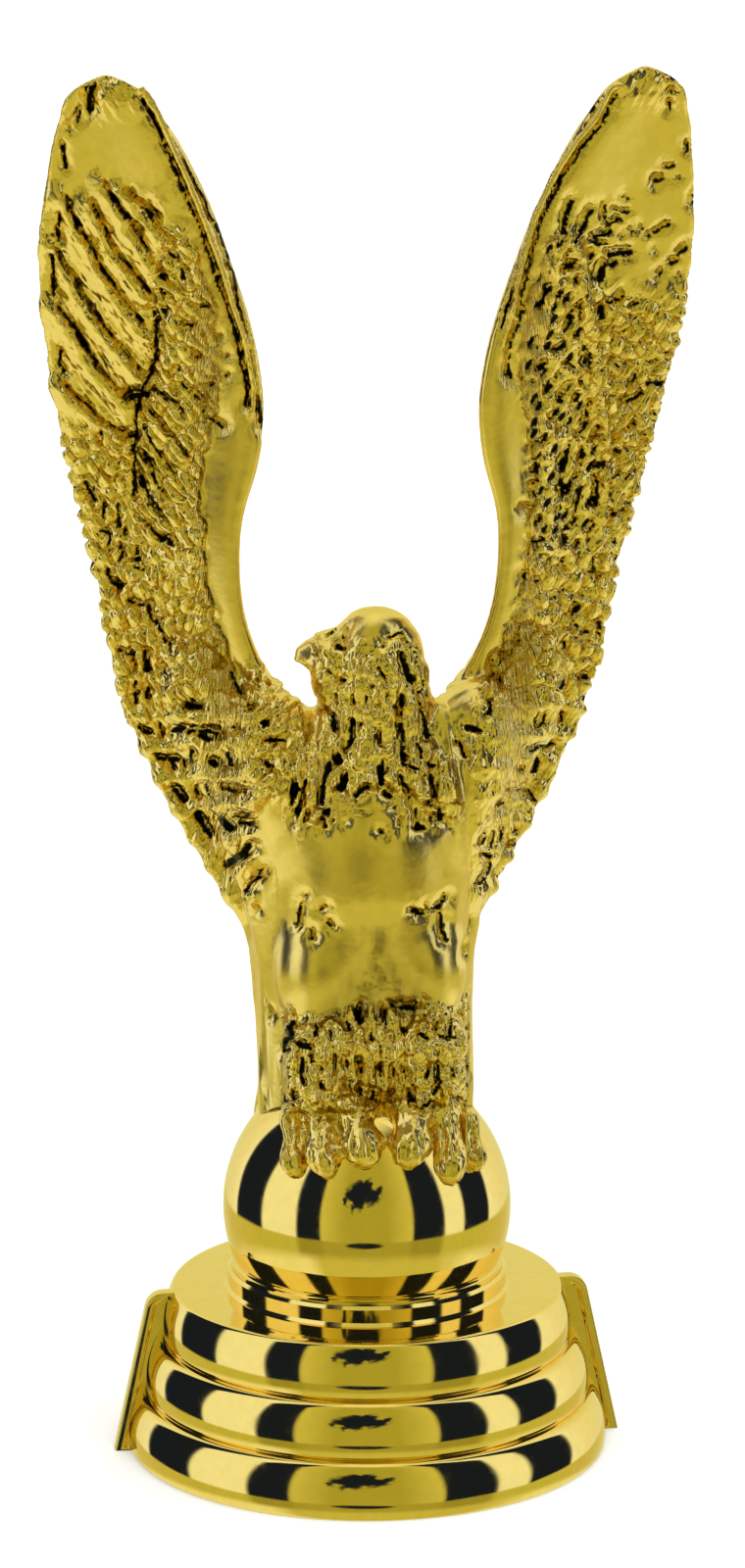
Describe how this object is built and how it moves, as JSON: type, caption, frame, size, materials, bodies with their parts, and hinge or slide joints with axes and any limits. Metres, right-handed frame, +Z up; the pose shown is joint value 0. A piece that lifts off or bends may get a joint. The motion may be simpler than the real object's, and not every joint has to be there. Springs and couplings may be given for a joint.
{
  "type": "eagle trophy",
  "caption": "Gold finished trophy figure: an eagle with raised wings gripping a ball, built together with its round banded plinth.",
  "frame": {"origin": "centre of the plinth's flat underside, on the surface that it stands on", "axes": "+Z up along the figure, +X from the eagle's right wing to its left wing, -Y the way its breast faces"},
  "size_m": [0.071, 0.0542, 0.1563],
  "materials": {
    "figure": "vacuum metallised mirror gold over moulded plastic",
    "plinth": "vacuum metallised mirror gold over moulded plastic"
  },
  "bodies": {
    "root": {"eagle_on_ball": "figure", "plinth": "plinth"}
  },
  "joints": []
}
